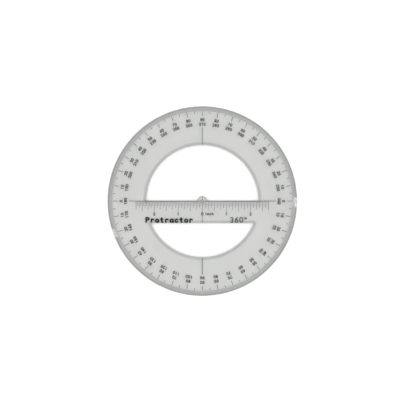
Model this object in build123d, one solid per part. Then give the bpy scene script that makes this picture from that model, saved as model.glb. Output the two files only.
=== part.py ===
from build123d import *
import os

# A clear acrylic full-circle protractor, 200 mm across, with a ruler bar across its middle.
# Frame: origin at the centre of the degree scale on the underside, +X to the right-hand
# 0/360 mark, +Y to the upper 90/270 mark, +Z out of the printed face. Millimetres.

# Plate
OUTER_RADIUS = 100.0
THICKNESS = 2.0
BEVEL_WIDTH = 5.0
RIM_HEIGHT = 0.7
OPENING_RADIUS = 59.0
BAR_TOP = 0.5
BAR_BOTTOM = -23.3
CORNER_RADIUS = 0.8
TAB_RADIUS = 5.3
TAB_CORNER_RADIUS = 0.4
PIN_HOLE_RADIUS = 0.6

# Print: a thin film of ink on the top face
INK_THICKNESS = 0.03
INK_Z = THICKNESS
SCALE_GAP = 0.3
SCALE_RADIUS = OUTER_RADIUS - BEVEL_WIDTH - SCALE_GAP

# Degree marks, each (length, width)
TEN_DEGREE_MARK = (5.0, 0.44)
FIVE_DEGREE_MARK = (2.5, 0.42)
ONE_DEGREE_MARK = (1.7, 0.08)

# Numerals round the circle
QUADRANT_RING_RADIUS = 85.8
FULL_RING_RADIUS = 81.0
DIGIT_SIZE = (2.05, 3.2)
DIGIT_PITCH = 2.45
DIGIT_STROKE = 0.62

# Axis lines through the centre
BASELINE_WIDTH = 0.42
AXIS_WIDTH = 0.46
BAR_AXIS_WIDTH = 0.34
AXIS_REACH = 77.5
AXIS_GAP = 0.9
EDGE_MARGIN = 0.4

# Ruler in inches, zero in the middle
INCH = 25.4
SIXTEENTHS_EACH_WAY = 44
RULER_MARK_WIDTH = 0.28
SIXTEENTH_MARK_WIDTH = 0.22
SIXTEENTH_LENGTH = 5.2
EIGHTH_LENGTH = 7.2
QUARTER_LENGTH = 9.2
HALF_LENGTH = 10.6
INCH_LENGTH = 11.8
RULER_DIGIT_SIZE = (2.2, 3.3)
RULER_DIGIT_STROKE = 0.66
RULER_DIGIT_Y = -13.6

# Words on the bar, each with letter size (width, height), pitch and stroke
UNIT_TEXT = "inch"
UNIT_SIZE = (1.9, 2.9)
UNIT_PITCH = 2.35
UNIT_STROKE = 0.66
UNIT_CENTRE = (7.4, -13.5)
NAME_TEXT = "Protractor"
NAME_SIZE = (4.5, 6.1)
NAME_PITCH = 5.1
NAME_STROKE = 1.5
NAME_CENTRE = (-34.9, -19.9)
RANGE_TEXT = "360\N{DEGREE SIGN}"
RANGE_SIZE = (3.9, 5.8)
RANGE_PITCH = 5.1
RANGE_STROKE = 0.8
RANGE_CENTRE = (38.6, -19.9)
SMALL_LETTER_TOP = 0.3
SMALL_LETTER_OPENING = 45

PARTS = "parts"


def write(name, solids):
    """Write one sub-part, a single solid or a group of alike solids."""
    shape = solids[0] if len(solids) == 1 else Compound(children=solids)
    shape.label = name
    export_step(shape, os.path.join(PARTS, name + ".step"))


# ---- plate ----


def upper_opening():
    """Circle segment above the bar, less the half-round tab at its centre."""
    side = 2 * OPENING_RADIUS
    above = Pos(0, BAR_TOP) * Rectangle(side, side, align=(Align.CENTER, Align.MIN))
    opening = (Circle(OPENING_RADIUS) & above) - Circle(TAB_RADIUS)
    ends = opening.vertices().group_by(lambda v: round(abs(v.X)))
    opening = fillet(ends[-1], CORNER_RADIUS)
    tab_feet = opening.vertices().filter_by(lambda v: abs(v.X) < 1.1 * TAB_RADIUS)
    return fillet(tab_feet, TAB_CORNER_RADIUS)


def lower_opening():
    """Circle segment below the bar."""
    side = 2 * OPENING_RADIUS
    below = Pos(0, BAR_BOTTOM) * Rectangle(side, side, align=(Align.CENTER, Align.MAX))
    opening = Circle(OPENING_RADIUS) & below
    return fillet(opening.vertices(), CORNER_RADIUS)


def plate():
    """Disc with a bevelled rim, two openings, and a pin hole at the centre."""
    profile = Polyline(
        (0, 0),
        (OUTER_RADIUS, 0),
        (OUTER_RADIUS, RIM_HEIGHT),
        (OUTER_RADIUS - BEVEL_WIDTH, THICKNESS),
        (0, THICKNESS),
        close=True,
    )
    disc = revolve(Plane.XZ * make_face(profile), Axis.Z)
    holes = upper_opening() + lower_opening() + Circle(PIN_HOLE_RADIUS)
    return disc - extrude(holes, THICKNESS)


# ---- pen strokes and characters ----


def pen(stroke, *lines):
    """Lines drawn with a round nib of the given width, as one flat shape."""
    marks = [trace(line, stroke) for line in lines]
    nib_points = {(round(v.X, 4), round(v.Y, 4)) for line in lines for v in line.vertices()}
    marks += [Pos(x, y) * Circle(stroke / 2) for x, y in sorted(nib_points)]
    return marks[0].fuse(*marks[1:]).clean()


def loop(a, b):
    """Upright oval of two half circles and two straight sides."""
    return [
        Line((a, a - b), (a, b - a)),
        ThreePointArc((a, b - a), (0, b), (-a, b - a)),
        Line((-a, b - a), (-a, a - b)),
        ThreePointArc((-a, a - b), (0, -b), (a, a - b)),
    ]


def ring(x, y, radius):
    """Full circle as two half circles."""
    return [CenterArc((x, y), radius, start, 180) for start in (0, 180)]


def six(a, b):
    """Bowl with a curved stem that rises from its left side."""
    bowl = 0.57 * b
    stem = TangentArc((-bowl, bowl - b), (0.75 * a, b), tangent=(0, 1))
    return ring(0, bowl - b, bowl) + [stem]


def five(a, b):
    """Flag and stem over an open bowl."""
    bowl = 0.6 * b
    arc = CenterArc((0, bowl - b), bowl, 135, -275)
    start = arc @ 0
    return [
        arc,
        Line((start.X, start.Y), (start.X, b)),
        Line((start.X, b), (0.85 * a, b)),
    ]


def character_lines(character, a, b):
    """Centre lines of one character in a box from (-a, -b) to (a, b)."""
    if character == "0":
        return loop(a, b)
    if character == "1":
        return [Line((0, -b), (0, b)), Line((0, b), (-0.8 * a, 0.55 * b))]
    if character == "2":
        return [
            ThreePointArc((-a, b - a), (0, b), (a, b - a)),
            TangentArc((a, b - a), (-a, -b), tangent=(0, -1)),
            Line((-a, -b), (a, -b)),
        ]
    if character == "3":
        return [
            CenterArc((0, b / 2), b / 2, -90, 245),
            CenterArc((0, -b / 2), b / 2, 90, -245),
        ]
    if character == "4":
        return [
            Line((0.5 * a, -b), (0.5 * a, b)),
            Line((0.5 * a, b), (-a, -0.35 * b)),
            Line((-a, -0.35 * b), (a, -0.35 * b)),
        ]
    if character == "5":
        return five(a, b)
    if character == "6":
        return six(a, b)
    if character == "7":
        return [Line((-a, b), (a, b)), Line((a, b), (-0.35 * a, -b))]
    if character == "8":
        return ring(0, b / 2, b / 2) + ring(0, -b / 2, b / 2)
    if character == "9":
        return [Rot(0, 0, 180) * line for line in six(a, b)]
    if character == "\N{DEGREE SIGN}":
        return ring(-0.4 * a, 0.68 * b, 0.32 * b)
    return letter_lines(character, a, b)


def small_bowl(a, top, b):
    """Oval of a small letter, from -b up to the small letters' top."""
    return [Pos(0, (top - b) / 2) * line for line in loop(a, (top + b) / 2)]


def open_bowl(a, top, b):
    """Small letter c: an oval from -b up to the top, open on its right."""
    sweep = 180 - SMALL_LETTER_OPENING
    side = Line((-a, top - a), (-a, a - b))
    upper = CenterArc((0, top - a), a, SMALL_LETTER_OPENING, sweep)
    lower = CenterArc((0, a - b), a, 180, sweep)
    return [upper, side, lower]


def letter_lines(letter, a, b):
    """Centre lines of one letter in a box from (-a, -b) to (a, b)."""
    top = SMALL_LETTER_TOP * b
    tall_stem = Line((-a, -b), (-a, b))
    small_stem = Line((-a, -b), (-a, top))
    arch = [
        ThreePointArc((-a, top - a), (0, top), (a, top - a)),
        Line((a, top - a), (a, -b)),
    ]
    if letter == "P":
        return [
            tall_stem,
            Line((-a, b), (a - b / 2, b)),
            ThreePointArc((a - b / 2, b), (a, b / 2), (a - b / 2, 0)),
            Line((a - b / 2, 0), (-a, 0)),
        ]
    if letter == "a":
        return small_bowl(a, top, b) + [Line((a, top), (a, -b))]
    if letter == "c":
        return open_bowl(a, top, b)
    if letter == "h":
        return [tall_stem] + arch
    if letter == "i":
        return [Line((0, -b), (0, top)), Line((0, 0.9 * b), (0, b))]
    if letter == "n":
        return [small_stem] + arch
    if letter == "o":
        return small_bowl(a, top, b)
    if letter == "r":
        bend = 0.9 * a
        arm = CenterArc((bend - 0.7 * a, top - bend), bend, 40, 140)
        return [Line((-0.7 * a, -b), (-0.7 * a, top)), arm]
    if letter == "t":
        foot = TangentArc((-0.2 * a, 0.7 * a - b), (0.5 * a, -b), tangent=(0, -1))
        stem = Line((-0.2 * a, 0.9 * b), (-0.2 * a, 0.7 * a - b))
        return [stem, foot, Line((-0.9 * a, top), (0.6 * a, top))]
    raise ValueError(letter)


def characters(text, size, pitch, stroke):
    """Inked characters of one line of text, centred on the origin, as solids."""
    width, height = size
    placed = []
    for index, character in enumerate(text):
        lines = character_lines(character, (width - stroke) / 2, (height - stroke) / 2)
        x = (index - (len(text) - 1) / 2) * pitch
        placed += inked(Pos(x, 0) * pen(stroke, *lines))
    return placed


def inked(flat_shape):
    """Film of ink in the outline of a flat shape, one solid for each separate face."""
    return [extrude(face, INK_THICKNESS) for face in flat_shape.faces()]


# ---- degree scale ----


def degree_marks(size, angles):
    """Radial marks that run inwards from the scale's outer circle."""
    length, width = size
    mark = Pos(SCALE_RADIUS - length / 2, 0) * Rectangle(length, width)
    ink = inked(mark)[0]
    return [Pos(0, 0, INK_Z) * Rot(0, 0, angle) * ink for angle in angles]


def quadrant_value(clockwise_from_left):
    """Reading of the outer numerals: 0 at the sides, 90 at the top and the bottom."""
    half_turn = clockwise_from_left % 180
    return min(half_turn, 180 - half_turn)


def full_circle_value(clockwise_from_left):
    """Reading of the inner numerals: 360 at the right, rising clockwise."""
    return (clockwise_from_left + 180) % 360 or 360


def numerals(value, radius):
    """One ring of numerals every ten degrees, with their tops outwards."""
    digits = {d: characters(d, DIGIT_SIZE, DIGIT_PITCH, DIGIT_STROKE)[0] for d in "0123456789"}
    placed = []
    for station in range(0, 360, 10):
        text = str(value(station))
        turn = Pos(0, 0, INK_Z) * Rot(0, 0, 90 - station)
        for index, digit in enumerate(text):
            x = (index - (len(text) - 1) / 2) * DIGIT_PITCH
            placed.append(turn * Pos(x, radius, 0) * digits[digit])
    return placed


# ---- axis lines ----


def line(x_low, y_low, x_high, y_high):
    """Straight inked line that fills a rectangle."""
    centre = Pos((x_low + x_high) / 2, (y_low + y_high) / 2, INK_Z)
    return centre * inked(Rectangle(x_high - x_low, y_high - y_low))[0]


def baseline():
    """Line through 0 and 180 degrees, broken at the pin hole. The ruler hangs from it."""
    half = BASELINE_WIDTH / 2
    return [line(-AXIS_REACH, -half, -AXIS_GAP, half), line(AXIS_GAP, -half, AXIS_REACH, half)]


def vertical_axis():
    """Line through 90 and 270 degrees, broken at the openings, the pin hole and the zero.

    It is finer across the bar and the tab than on the ring."""
    ring_edge = OPENING_RADIUS + EDGE_MARGIN
    zero_reach = RULER_DIGIT_SIZE[1] / 2 + EDGE_MARGIN
    spans = [
        (ring_edge, AXIS_REACH, AXIS_WIDTH),
        (AXIS_GAP, TAB_RADIUS - EDGE_MARGIN, BAR_AXIS_WIDTH),
        (RULER_DIGIT_Y + zero_reach, -AXIS_GAP, BAR_AXIS_WIDTH),
        (BAR_BOTTOM + EDGE_MARGIN, RULER_DIGIT_Y - zero_reach, BAR_AXIS_WIDTH),
        (-AXIS_REACH, -ring_edge, AXIS_WIDTH),
    ]
    return [line(-width / 2, low, width / 2, high) for low, high, width in spans]


# ---- ruler ----


def ruler_marks(length, sixteenths, width=RULER_MARK_WIDTH):
    """Marks of one length that hang from the baseline, at places in sixteenths of an inch."""
    top = -BASELINE_WIDTH / 2
    half = width / 2
    places = [count * INCH / 16 for count in sixteenths]
    return [line(x - half, -length, x + half, top) for x in places]


def sixteenths_between(step, longer_step):
    """Places on the ruler at each step that belong to no longer mark."""
    reach = range(-SIXTEENTHS_EACH_WAY, SIXTEENTHS_EACH_WAY + 1)
    return [count for count in reach if count % step == 0 and count % longer_step]


def ruler_numerals():
    """Inch numbers under the inch marks, rising both ways from zero."""
    placed = []
    for inches in range(-2, 3):
        at = Pos(inches * INCH, RULER_DIGIT_Y, INK_Z)
        text = characters(str(abs(inches)), RULER_DIGIT_SIZE, 0, RULER_DIGIT_STROKE)
        placed += [at * solid for solid in text]
    return placed


def words(text, size, pitch, stroke, centre):
    """Line of lettering centred at a point of the bar."""
    return [Pos(*centre, INK_Z) * solid for solid in characters(text, size, pitch, stroke)]


def main():
    os.makedirs(PARTS, exist_ok=True)
    write("plate", [plate()])

    write("degree_marks_10", degree_marks(TEN_DEGREE_MARK, range(0, 360, 10)))
    write("degree_marks_5", degree_marks(FIVE_DEGREE_MARK, range(5, 360, 10)))
    single = [angle for angle in range(360) if angle % 5]
    write("degree_marks_1", degree_marks(ONE_DEGREE_MARK, single))
    write("quadrant_numerals", numerals(quadrant_value, QUADRANT_RING_RADIUS))
    write("full_circle_numerals", numerals(full_circle_value, FULL_RING_RADIUS))

    write("baseline", baseline())
    write("vertical_axis", vertical_axis())

    write("ruler_inches", ruler_marks(INCH_LENGTH, [-32, -16, 16, 32]))
    write("ruler_halves", ruler_marks(HALF_LENGTH, sixteenths_between(8, 16)))
    write("ruler_quarters", ruler_marks(QUARTER_LENGTH, sixteenths_between(4, 8)))
    write("ruler_eighths", ruler_marks(EIGHTH_LENGTH, sixteenths_between(2, 4)))
    sixteenths = sixteenths_between(1, 2)
    write("ruler_sixteenths", ruler_marks(SIXTEENTH_LENGTH, sixteenths, SIXTEENTH_MARK_WIDTH))
    write("ruler_numerals", ruler_numerals())

    write("unit_word", words(UNIT_TEXT, UNIT_SIZE, UNIT_PITCH, UNIT_STROKE, UNIT_CENTRE))
    write("name_word", words(NAME_TEXT, NAME_SIZE, NAME_PITCH, NAME_STROKE, NAME_CENTRE))
    write("range_word", words(RANGE_TEXT, RANGE_SIZE, RANGE_PITCH, RANGE_STROKE, RANGE_CENTRE))


main()
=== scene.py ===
import math

import bmesh
import bpy
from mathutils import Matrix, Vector
from mathutils.geometry import delaunay_2d_cdt

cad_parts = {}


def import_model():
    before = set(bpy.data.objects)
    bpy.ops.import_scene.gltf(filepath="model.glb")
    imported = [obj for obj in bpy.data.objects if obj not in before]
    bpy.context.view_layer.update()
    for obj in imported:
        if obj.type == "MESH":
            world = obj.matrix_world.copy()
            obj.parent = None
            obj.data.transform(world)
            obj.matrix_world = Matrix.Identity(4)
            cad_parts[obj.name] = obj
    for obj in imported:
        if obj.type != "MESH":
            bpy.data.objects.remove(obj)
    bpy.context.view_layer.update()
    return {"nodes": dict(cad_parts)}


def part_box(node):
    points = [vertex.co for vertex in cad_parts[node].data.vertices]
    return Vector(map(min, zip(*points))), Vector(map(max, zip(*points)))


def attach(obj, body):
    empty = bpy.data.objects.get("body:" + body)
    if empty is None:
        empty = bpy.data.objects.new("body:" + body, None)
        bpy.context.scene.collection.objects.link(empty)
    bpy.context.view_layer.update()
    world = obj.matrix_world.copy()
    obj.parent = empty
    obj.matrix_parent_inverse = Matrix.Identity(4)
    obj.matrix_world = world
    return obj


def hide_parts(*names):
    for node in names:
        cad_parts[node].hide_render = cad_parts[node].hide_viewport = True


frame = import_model()

# ---- sizes in metres; the radius and the thickness are measured on the CAD plate ----

PLATE_LOW, PLATE_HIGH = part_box("plate")
OUTER_RADIUS = PLATE_HIGH.x
THICKNESS = PLATE_HIGH.z
BEVEL_WIDTH = 0.0050
RIM_HEIGHT = 0.0007
OPENING_RADIUS = 0.059
BAR_TOP = 0.0005
BAR_BOTTOM = -0.0233
CORNER_RADIUS = 0.0008
TAB_RADIUS = 0.0053
TAB_CORNER_RADIUS = 0.0004
PIN_HOLE_RADIUS = 0.0006
EDGE_ROUNDING = 0.00022
CREASE_ROUNDING = 0.0012
# widths of the bands of painted shade beside the rim, the openings' arcs and the bar, and of the blend
# between arc and bar
RIM_BAND = 0.0020
ARC_BAND = 0.0039
BAR_TOP_BAND = 0.0016
BAR_BOTTOM_BAND = 0.0030
BAND_BLEND = 0.002

# ---- how finely each curve and edge is divided ----

RIM_STEPS = 720
PIN_HOLE_STEPS = 32
DOME_STEPS = 260
BOWL_STEPS = 180
TAB_STEPS = 40
BAR_TOP_STEPS = 40
BAR_BOTTOM_STEPS = 48
CORNER_STEPS = 8
TAB_CORNER_STEPS = 6
EDGE_STEPS = 4
CREASE_STEPS = 3
WELD_DISTANCE = 1e-9
KEEP_INSIDE = 1

# ---- bands of painted shade beside the edges: a shade from 0, clear, to 1, darkest, and shares of a band's width ----

WALL_EDGE_SHADE = 0.5
WALL_DARKEST_SHARE = 0.4
RIM_DARK_SHARE = 0.6


# ---- outlines of the plate ----


def arc(centre, radius, start, end, count):
    """Points of an arc between two angles in radians, the last one left out."""
    angles = [start + (end - start) * i / count for i in range(count)]
    return [(centre[0] + radius * math.cos(a), centre[1] + radius * math.sin(a)) for a in angles]


def circle(radius, count):
    """Closed anticlockwise circle about the origin."""
    return arc((0.0, 0.0), radius, 0.0, 2 * math.pi, count)


def segment_corner(edge_y, side):
    """Centre of the fillet between the opening's circle and the bar's edge at edge_y, and its angle.

    The angle is that of the fillet's centre, seen from the origin. side is +1 for an opening above
    that edge and -1 for one below it."""
    y = edge_y + side * CORNER_RADIUS
    reach = OPENING_RADIUS - CORNER_RADIUS
    x = math.sqrt(reach**2 - y**2)
    return (x, y), math.atan2(y, x)


def straight(start, end, count):
    """Evenly spaced points from start towards end, the end left out."""
    return [
        (start[0] + (end[0] - start[0]) * i / count, start[1] + (end[1] - start[1]) * i / count)
        for i in range(count)
    ]


def mirrored(points):
    """The same points reflected in the vertical axis, in the order that keeps the loop's sense."""
    return [(-x, y) for x, y in reversed(points)]


def lower_opening():
    """Anticlockwise outline of the opening below the bar."""
    (x, y), angle = segment_corner(BAR_BOTTOM, -1)
    corner = arc((x, y), CORNER_RADIUS, angle, math.pi / 2, CORNER_STEPS)
    right = corner + [(x, BAR_BOTTOM)]
    left = mirrored(right)
    top = straight(right[-1], left[0], BAR_BOTTOM_STEPS)[1:]
    bottom = arc((0, 0), OPENING_RADIUS, math.pi - angle, 2 * math.pi + angle, BOWL_STEPS)[1:]
    return right + top + left + bottom


def upper_opening():
    """Anticlockwise outline of the opening above the bar, round the tab at its centre."""
    (x, y), angle = segment_corner(BAR_TOP, 1)
    corner = arc((x, y), CORNER_RADIUS, -math.pi / 2, angle, CORNER_STEPS)
    foot_reach = TAB_RADIUS + TAB_CORNER_RADIUS
    foot_y = BAR_TOP + TAB_CORNER_RADIUS
    foot_x = math.sqrt(foot_reach**2 - foot_y**2)
    foot_angle = math.atan2(foot_y, foot_x)
    foot_turn = (foot_angle + math.pi, 1.5 * math.pi)
    foot = arc((foot_x, foot_y), TAB_CORNER_RADIUS, *foot_turn, TAB_CORNER_STEPS)
    foot = foot + [(foot_x, BAR_TOP)]
    edge = straight(foot[-1], corner[0], BAR_TOP_STEPS)[1:]
    right = foot + edge + corner
    left = mirrored(right)
    dome = arc((0, 0), OPENING_RADIUS, angle, math.pi - angle, DOME_STEPS)
    tab = arc((0, 0), TAB_RADIUS, math.pi - foot_angle, foot_angle, TAB_STEPS)[1:]
    return right + dome + left + tab


# ---- plate mesh ----

FACE, BEVEL, WALL = range(3)
EDGE_SHADE = "edge_shade"


def inward_normals(loop):
    """Unit vectors that point into the plate at each point of a loop that keeps it on the left."""
    normals = []
    for i, (x, y) in enumerate(loop):
        before, after = loop[i - 1], loop[(i + 1) % len(loop)]
        tangent = Vector((after[0] - before[0], after[1] - before[1])).normalized()
        normals.append(Vector((-tangent.y, tangent.x)))
    return normals


def profile_point(depth, height, facing, shade=0.0, kind=WALL, band=0.0):
    """One point of a profile that is swept round an outline.

    facing is the surface's angle above the horizontal there, shade is how dark the painted shade of its
    edge band is, kind is the surface that runs on from the point, and band adds that share of the band's
    width."""
    return {
        "depth": depth,
        "height": height,
        "out": math.cos(facing),
        "up": math.sin(facing),
        "shade": shade,
        "kind": kind,
        "band": band,
    }


def fillet_profile(centre, radius, start, end, count, kind=WALL):
    """Profile points of a rounding, between two angles above the horizontal."""
    points = []
    for i in range(count + 1):
        angle = start + (end - start) * i / count
        depth = centre[0] - radius * math.cos(angle)
        height = centre[1] + radius * math.sin(angle)
        points.append(profile_point(depth, height, angle, kind=kind))
    return points


def wall_profile():
    """Square wall with slightly rounded edges, and the band of painted shade on the top face beside it."""
    r = EDGE_ROUNDING
    low = fillet_profile((r, r), r, -math.pi / 2, 0, EDGE_STEPS)
    high = fillet_profile((r, THICKNESS - r), r, 0, math.pi / 2, EDGE_STEPS)
    high[-1].update(shade=WALL_EDGE_SHADE, kind=FACE)
    darkest = profile_point(r, THICKNESS, math.pi / 2, 1.0, FACE, WALL_DARKEST_SHARE)
    inner = profile_point(r, THICKNESS, math.pi / 2, 0.0, FACE, 1.0)
    return low + high + [darkest, inner]


def rim_profile():
    """Thin rim, and the long bevel that rises from it to the face, with painted shade darkest along its
    foot.
    """
    slope = math.atan2(THICKNESS - RIM_HEIGHT, BEVEL_WIDTH)
    facing = math.pi / 2 - slope
    r = EDGE_ROUNDING
    low = fillet_profile((r, r), r, -math.pi / 2, 0, EDGE_STEPS)
    shoulder = RIM_HEIGHT - r * math.tan(facing / 2)
    edge = fillet_profile((r, shoulder), r, 0, facing, EDGE_STEPS)
    edge[-1].update(shade=1.0, kind=BEVEL)
    foot = []
    for share, shade in ((RIM_DARK_SHARE, 1.0), (1.0, 0.0)):
        depth = share * RIM_BAND
        foot.append(profile_point(depth, RIM_HEIGHT + depth * math.tan(slope), facing, shade, BEVEL))
    crease_run = CREASE_ROUNDING * math.tan(slope / 2)
    crease_centre = (BEVEL_WIDTH + crease_run, THICKNESS - CREASE_ROUNDING)
    turn = (facing, math.pi / 2)
    crease = fillet_profile(crease_centre, CREASE_ROUNDING, *turn, CREASE_STEPS, BEVEL)
    return low + edge + foot + crease


def band_width(x, y):
    """Width of the band of painted shade beside an opening: wide by its arc, narrow by the bar and the
    tab.
    """
    bar_band = BAR_BOTTOM_BAND if y <= BAR_BOTTOM else BAR_TOP_BAND
    share = (math.hypot(x, y) - OPENING_RADIUS + BAND_BLEND) / BAND_BLEND
    return bar_band + (ARC_BAND - bar_band) * min(max(share, 0), 1)


def flat_triangles(loops):
    """Triangles between an outer loop and the holes in it, as triples of indices into the joined loops."""
    points, outlines = [], []
    for loop in loops:
        indices = list(range(len(points), len(points) + len(loop)))
        points += [Vector(p) for p in loop]
        outlines.append(indices if not outlines else indices[::-1])
    found = delaunay_2d_cdt(points, [], outlines, KEEP_INSIDE, WELD_DISTANCE)
    triangles, vert_origins, face_origins = found[2], found[3], found[5]
    return [
        [vert_origins[i][0] for i in triangle]
        for triangle, origin in zip(triangles, face_origins)
        if list(origin) == [0]
    ]


def swept(mesh, loop, profile, normals, shades):
    """Sweep a profile round an outline, and give back the first and the last ring of vertices.

    Each new vertex's normal and painted edge shade are added to the lists normals and shades."""
    inward = inward_normals(loop)
    rings = []
    for point in profile:
        ring = []
        for (x, y), n in zip(loop, inward):
            reach = point["depth"] + point["band"] * band_width(x, y)
            vert = mesh.verts.new((x + n.x * reach, y + n.y * reach, point["height"]))
            normals.append(Vector((-n.x * point["out"], -n.y * point["out"], point["up"])))
            shades.append(point["shade"])
            ring.append(vert)
        rings.append(ring)
    for lower, upper, point in zip(rings, rings[1:], profile):
        for i in range(len(loop)):
            j = (i + 1) % len(loop)
            face = mesh.faces.new((lower[i], lower[j], upper[j], upper[i]))
            face.material_index = point["kind"]
    return rings[0], rings[-1]


def build_plate():
    """Whole plate as one closed mesh: walls swept round each outline, and two flat faces."""
    holes = [upper_opening(), lower_opening(), circle(PIN_HOLE_RADIUS, PIN_HOLE_STEPS)]
    outlines = [(circle(OUTER_RADIUS, RIM_STEPS), rim_profile())]
    outlines += [(hole[::-1], wall_profile()) for hole in holes]
    mesh = bmesh.new()
    normals, shades = [], []
    ends = [swept(mesh, loop, profile, normals, shades) for loop, profile in outlines]
    for side in (0, 1):
        rings = [end[side] for end in ends]
        verts = [vert for ring in rings for vert in ring]
        for triangle in flat_triangles([[vert.co.xy for vert in ring] for ring in rings]):
            corners = [verts[i] for i in triangle]
            mesh.faces.new(corners if side else corners[::-1])
    return mesh, normals, shades


def plate_object(materials):
    """The plate as a piece, with its exact normals, painted edge shade and materials."""
    built, normals, shades = build_plate()
    for face in built.faces:
        face.smooth = True
    data = bpy.data.meshes.new("clear_plate")
    built.to_mesh(data)
    built.free()
    data.normals_split_custom_set_from_vertices(normals)
    # the painted edge shade of each vertex, kept as a mesh attribute
    data.attributes.new(EDGE_SHADE, "FLOAT", "POINT").data.foreach_set("value", shades)
    for material in materials:
        data.materials.append(material)
    piece = bpy.data.objects.new("clear_plate", data)
    bpy.context.scene.collection.objects.link(piece)
    return piece


# ---- materials ----

# Each noise is (scale, detail) or (scale, detail, distortion), and each range is (low, high).
NOISE_LOW, NOISE_HIGH = 0.3, 0.7
STREAK_NOISE = (18, 3, 0.6)
STREAK_SHADE = 0.05
SMEAR_NOISE = (60, 6, 0.4)
WAVE_DETAIL = 2
ACRYLIC_WAVE_SCALE = 22
ACRYLIC_IOR = 1.49

SCRATCH_SLENDERNESS = 130.0
SCRATCH_ROUGHNESS = 0.12
SCRATCH_NOISE_SCALE = 1.0
SCRATCH_DETAIL = 2.0
SCRATCH_LOW, SCRATCH_HIGH = 0.66, 0.74
FIRST_SCRATCHES = {"angle": 31, "scale": 7.0}
SECOND_SCRATCHES = {"angle": -52, "scale": 5.0}

FACE_TINT = (0.940, 0.946, 0.937)
# painted shade: darker tint of the bands beside the openings
PAINTED_BAND_SHADE = (0.60, 0.607, 0.598)
# painted shade: darker tint of the whole bevel
PAINTED_BEVEL_SHADE = (0.590, 0.596, 0.588)
# painted shade: darker tint along the rim's foot
PAINTED_RIM_SHADE = (0.42, 0.427, 0.42)
# painted shade: darker tints of the walls and, darker still, of their top edges
PAINTED_WALL_SHADE = (0.66, 0.672, 0.66)
PAINTED_WALL_EDGE_SHADE = (0.56, 0.572, 0.56)
FACE_ROUGHNESS = (0.01, 0.05)
BEVEL_ROUGHNESS = (0.045, 0.055)
WALL_ROUGHNESS = (0.10, 0.20)
WAVE_HEIGHT = 0.00003
BEVEL_WAVE_HEIGHT = 0.000001

INK_DARK = (0.006, 0.006, 0.007, 1)
INK_LIGHT = (0.018, 0.018, 0.019, 1)
INK_COAT_NOISE = (900, 4)
INK_ROUGHNESS_NOISE = (1500, 3)
INK_ROUGHNESS = (0.45, 0.65)
INK_SPECULAR = 0.12
INK_WAVE_SCALE = 2500
INK_WAVE_HEIGHT = 0.000008


def new_material(name):
    """Empty node material and its node tree, with one Principled shader."""
    material = bpy.data.materials.new(name)
    material.use_nodes = True
    tree = material.node_tree
    tree.nodes.clear()
    output = tree.nodes.new("ShaderNodeOutputMaterial")
    shader = tree.nodes.new("ShaderNodeBsdfPrincipled")
    tree.links.new(shader.outputs["BSDF"], output.inputs["Surface"])
    return material, tree, shader


def object_noise(tree, scale, detail, distortion=0.0):
    """Noise fixed to the object, as the output of a noise node."""
    place = tree.nodes.new("ShaderNodeTexCoord")
    noise = tree.nodes.new("ShaderNodeTexNoise")
    noise.inputs["Scale"].default_value = scale
    noise.inputs["Detail"].default_value = detail
    noise.inputs["Distortion"].default_value = distortion
    tree.links.new(place.outputs["Object"], noise.inputs["Vector"])
    return noise.outputs["Fac"]


def mapped(tree, value, low, high, from_low=NOISE_LOW, from_high=NOISE_HIGH):
    """Value stretched from one range onto another."""
    node = tree.nodes.new("ShaderNodeMapRange")
    node.inputs["From Min"].default_value = from_low
    node.inputs["From Max"].default_value = from_high
    node.inputs["To Min"].default_value = low
    node.inputs["To Max"].default_value = high
    tree.links.new(value, node.inputs["Value"])
    return node.outputs["Result"]


def scratches(tree, angle, scale):
    """Fine straight hairlines at an angle, as a mask from 0 to 1."""
    place = tree.nodes.new("ShaderNodeTexCoord")
    turned = tree.nodes.new("ShaderNodeMapping")
    turned.inputs["Rotation"].default_value = (0, 0, math.radians(angle))
    turned.inputs["Scale"].default_value = (scale, scale * SCRATCH_SLENDERNESS, scale)
    noise = tree.nodes.new("ShaderNodeTexNoise")
    noise.inputs["Scale"].default_value = SCRATCH_NOISE_SCALE
    noise.inputs["Detail"].default_value = SCRATCH_DETAIL
    tree.links.new(place.outputs["Object"], turned.inputs["Vector"])
    tree.links.new(turned.outputs["Vector"], noise.inputs["Vector"])
    return mapped(tree, noise.outputs["Fac"], 0.0, 1.0, SCRATCH_LOW, SCRATCH_HIGH)


def combined(tree, operation, first, second):
    """Math node on two sockets, or on a socket and a number."""
    node = tree.nodes.new("ShaderNodeMath")
    node.operation = operation
    tree.links.new(first, node.inputs[0])
    if isinstance(second, float):
        node.inputs[1].default_value = second
    else:
        tree.links.new(second, node.inputs[1])
    return node.outputs["Value"]


def waviness(tree, shader, scale, height):
    """Slight waves in the surface, as a bump."""
    bump = tree.nodes.new("ShaderNodeBump")
    bump.inputs["Strength"].default_value = 1.0
    bump.inputs["Distance"].default_value = height
    tree.links.new(object_noise(tree, scale, WAVE_DETAIL), bump.inputs["Height"])
    tree.links.new(bump.outputs["Normal"], shader.inputs["Normal"])


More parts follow.
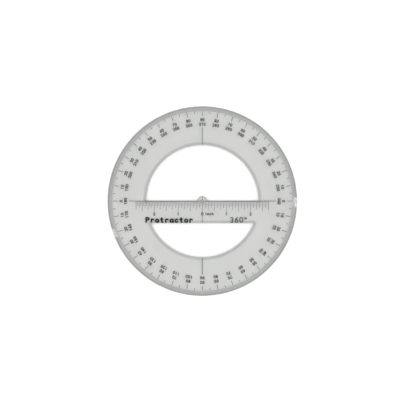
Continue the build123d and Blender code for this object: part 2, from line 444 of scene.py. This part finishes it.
def acrylic(name, tint, painted_shade_tint, rough_range, wave_height, handled=True):
    """Clear acrylic: refractive and faintly tinted, with painted shade that mixes it towards its painted
    shade tint where edge_shade says so; for the bevel and the walls, tint itself is already darkened as
    painted shade.

    Its roughness follows wiped smears, and hairline scratches where it is handled, and its surface
    is slightly wavy."""
    material, tree, shader = new_material(name)
    shader.inputs["Transmission Weight"].default_value = 1.0
    shader.inputs["IOR"].default_value = ACRYLIC_IOR

    # painted shade: the colour mixes from tint towards the painted shade tint by the edge_shade attribute,
    # with random streaks of tone added
    shade = tree.nodes.new("ShaderNodeAttribute")
    shade.attribute_name = EDGE_SHADE
    streaks = mapped(tree, object_noise(tree, *STREAK_NOISE), 0.0, STREAK_SHADE)
    colour = tree.nodes.new("ShaderNodeMix")
    colour.data_type = "RGBA"
    colour.inputs["A"].default_value = (*tint, 1)
    colour.inputs["B"].default_value = (*painted_shade_tint, 1)
    factor = combined(tree, "ADD", shade.outputs["Fac"], streaks)
    tree.links.new(factor, colour.inputs["Factor"])
    tree.links.new(colour.outputs["Result"], shader.inputs["Base Color"])

    roughness = mapped(tree, object_noise(tree, *SMEAR_NOISE), *rough_range)
    if handled:
        first = scratches(tree, **FIRST_SCRATCHES)
        second = scratches(tree, **SECOND_SCRATCHES)
        hairlines = combined(tree, "MAXIMUM", first, second)
        worn = combined(tree, "MULTIPLY", hairlines, SCRATCH_ROUGHNESS)
        roughness = combined(tree, "ADD", roughness, worn)
    tree.links.new(roughness, shader.inputs["Roughness"])
    waviness(tree, shader, ACRYLIC_WAVE_SCALE, wave_height)
    return material


def ink():
    """Black screen-printed ink: near black, satin, with slight unevenness of coat and surface."""
    material, tree, shader = new_material("printed_ink")
    shade = tree.nodes.new("ShaderNodeValToRGB")
    shade.color_ramp.elements[0].color = INK_DARK
    shade.color_ramp.elements[1].color = INK_LIGHT
    tree.links.new(object_noise(tree, *INK_COAT_NOISE), shade.inputs["Fac"])
    tree.links.new(shade.outputs["Color"], shader.inputs["Base Color"])
    shader.inputs["Specular IOR Level"].default_value = INK_SPECULAR
    rough = mapped(tree, object_noise(tree, *INK_ROUGHNESS_NOISE), *INK_ROUGHNESS)
    tree.links.new(rough, shader.inputs["Roughness"])
    waviness(tree, shader, INK_WAVE_SCALE, INK_WAVE_HEIGHT)
    return material


# ---- the object ----

# the band, bevel, rim and wall tints given here are painted shade; FACE_TINT is the acrylic's own tint
plate = plate_object([
    acrylic("acrylic_face", FACE_TINT, PAINTED_BAND_SHADE, FACE_ROUGHNESS, WAVE_HEIGHT),
    acrylic("acrylic_bevel", PAINTED_BEVEL_SHADE, PAINTED_RIM_SHADE, BEVEL_ROUGHNESS, BEVEL_WAVE_HEIGHT, handled=False),
    acrylic("acrylic_wall", PAINTED_WALL_SHADE, PAINTED_WALL_EDGE_SHADE, WALL_ROUGHNESS, WAVE_HEIGHT),
])
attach(plate, "root")
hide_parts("plate")

INK = ink()
for name, node in frame["nodes"].items():
    if name != "plate":
        node.data.materials.clear()
        node.data.materials.append(INK)

# ---- floor, light and camera ----

FLOOR_SIZE = 40
FLOOR_DROP = 0.0003
FLOOR_COLOUR = (0.9, 0.9, 0.9, 1)
FLOOR_ROUGHNESS = 0.9
SKY_OVERHEAD = 1.32
SKY_HORIZON = 1.0
SKY_FULL_FROM = 0.5
CAMERA_HEIGHT = 1.6
SENSOR_WIDTH = 36
CLIP_NEAR, CLIP_FAR = 0.01, 100
DISC_SHARE_OF_VIEW = 0.4675
VIEW_WIDTH = 2 * OUTER_RADIUS / DISC_SHARE_OF_VIEW
VIEW_CENTRE = (0.0002, -0.0015)
LAMP_DISTANCE = 0.4
LAMP_GLINT_DEPTH = 0.0020


def floor():
    """Plain pale floor a hair below the object."""
    bpy.ops.mesh.primitive_plane_add(size=FLOOR_SIZE, location=(0, 0, -FLOOR_DROP))
    plane = bpy.context.object
    plane.name = "floor"
    material, tree, shader = new_material("floor_paper")
    shader.inputs["Base Color"].default_value = FLOOR_COLOUR
    shader.inputs["Roughness"].default_value = FLOOR_ROUGHNESS
    shader.inputs["Specular IOR Level"].default_value = 0.0
    plane.data.materials.append(material)


def world(overhead, horizon):
    """Soft studio light from all round, a little weaker towards the horizon."""
    sky = bpy.data.worlds.new("studio")
    sky.use_nodes = True
    tree = sky.node_tree
    background = tree.nodes["Background"]
    background.inputs["Color"].default_value = (1, 1, 1, 1)
    direction = tree.nodes.new("ShaderNodeTexCoord")
    parts = tree.nodes.new("ShaderNodeSeparateXYZ")
    tree.links.new(direction.outputs["Generated"], parts.inputs["Vector"])
    strength = mapped(tree, parts.outputs["Z"], horizon, overhead, 0.0, SKY_FULL_FROM)
    tree.links.new(strength, background.inputs["Strength"])
    bpy.context.scene.world = sky


def bevel_lamp(name, azimuth, spread, height, strength):
    """Small lamp placed so that the bevel mirrors it towards a viewer straight above the centre.

    azimuth and spread are degrees round the rim; height is the lamp's own height in metres."""
    slope = math.degrees(math.atan2(THICKNESS - RIM_HEIGHT, BEVEL_WIDTH))
    radius = OUTER_RADIUS - LAMP_GLINT_DEPTH
    view_lean = math.degrees(math.atan2(radius, CAMERA_HEIGHT))
    lean = math.radians(2 * slope + view_lean)
    turn = math.radians(azimuth)
    across = radius + LAMP_DISTANCE * math.sin(lean)
    rise = LAMP_DISTANCE * math.cos(lean)
    place = Vector((across * math.cos(turn), across * math.sin(turn), rise))
    target = Vector((radius * math.cos(turn), radius * math.sin(turn), 0))
    data = bpy.data.lights.new(name, "AREA")
    data.shape = "RECTANGLE"
    data.size = across * math.radians(spread)
    data.size_y = height
    data.energy = strength * math.pi * data.size * data.size_y
    light = bpy.data.objects.new(name, data)
    light.location = place
    light.rotation_euler = (target - place).to_track_quat("-Z", "Y").to_euler()
    bpy.context.scene.collection.objects.link(light)


def camera():
    """Long lens straight above the object."""
    data = bpy.data.cameras.new("camera")
    data.sensor_width = SENSOR_WIDTH
    data.lens = SENSOR_WIDTH * CAMERA_HEIGHT / VIEW_WIDTH
    data.clip_start, data.clip_end = CLIP_NEAR, CLIP_FAR
    view = bpy.data.objects.new("camera", data)
    view.location = (VIEW_CENTRE[0], VIEW_CENTRE[1], CAMERA_HEIGHT)
    bpy.context.scene.collection.objects.link(view)
    bpy.context.scene.camera = view


floor()
world(SKY_OVERHEAD, SKY_HORIZON)
bevel_lamp("lamp_right", azimuth=-0.6, spread=5.6, height=0.0022, strength=21)
bevel_lamp("lamp_left", azimuth=200.0, spread=5.5, height=0.0030, strength=13)
camera()
bpy.context.scene.view_settings.view_transform = "Standard"
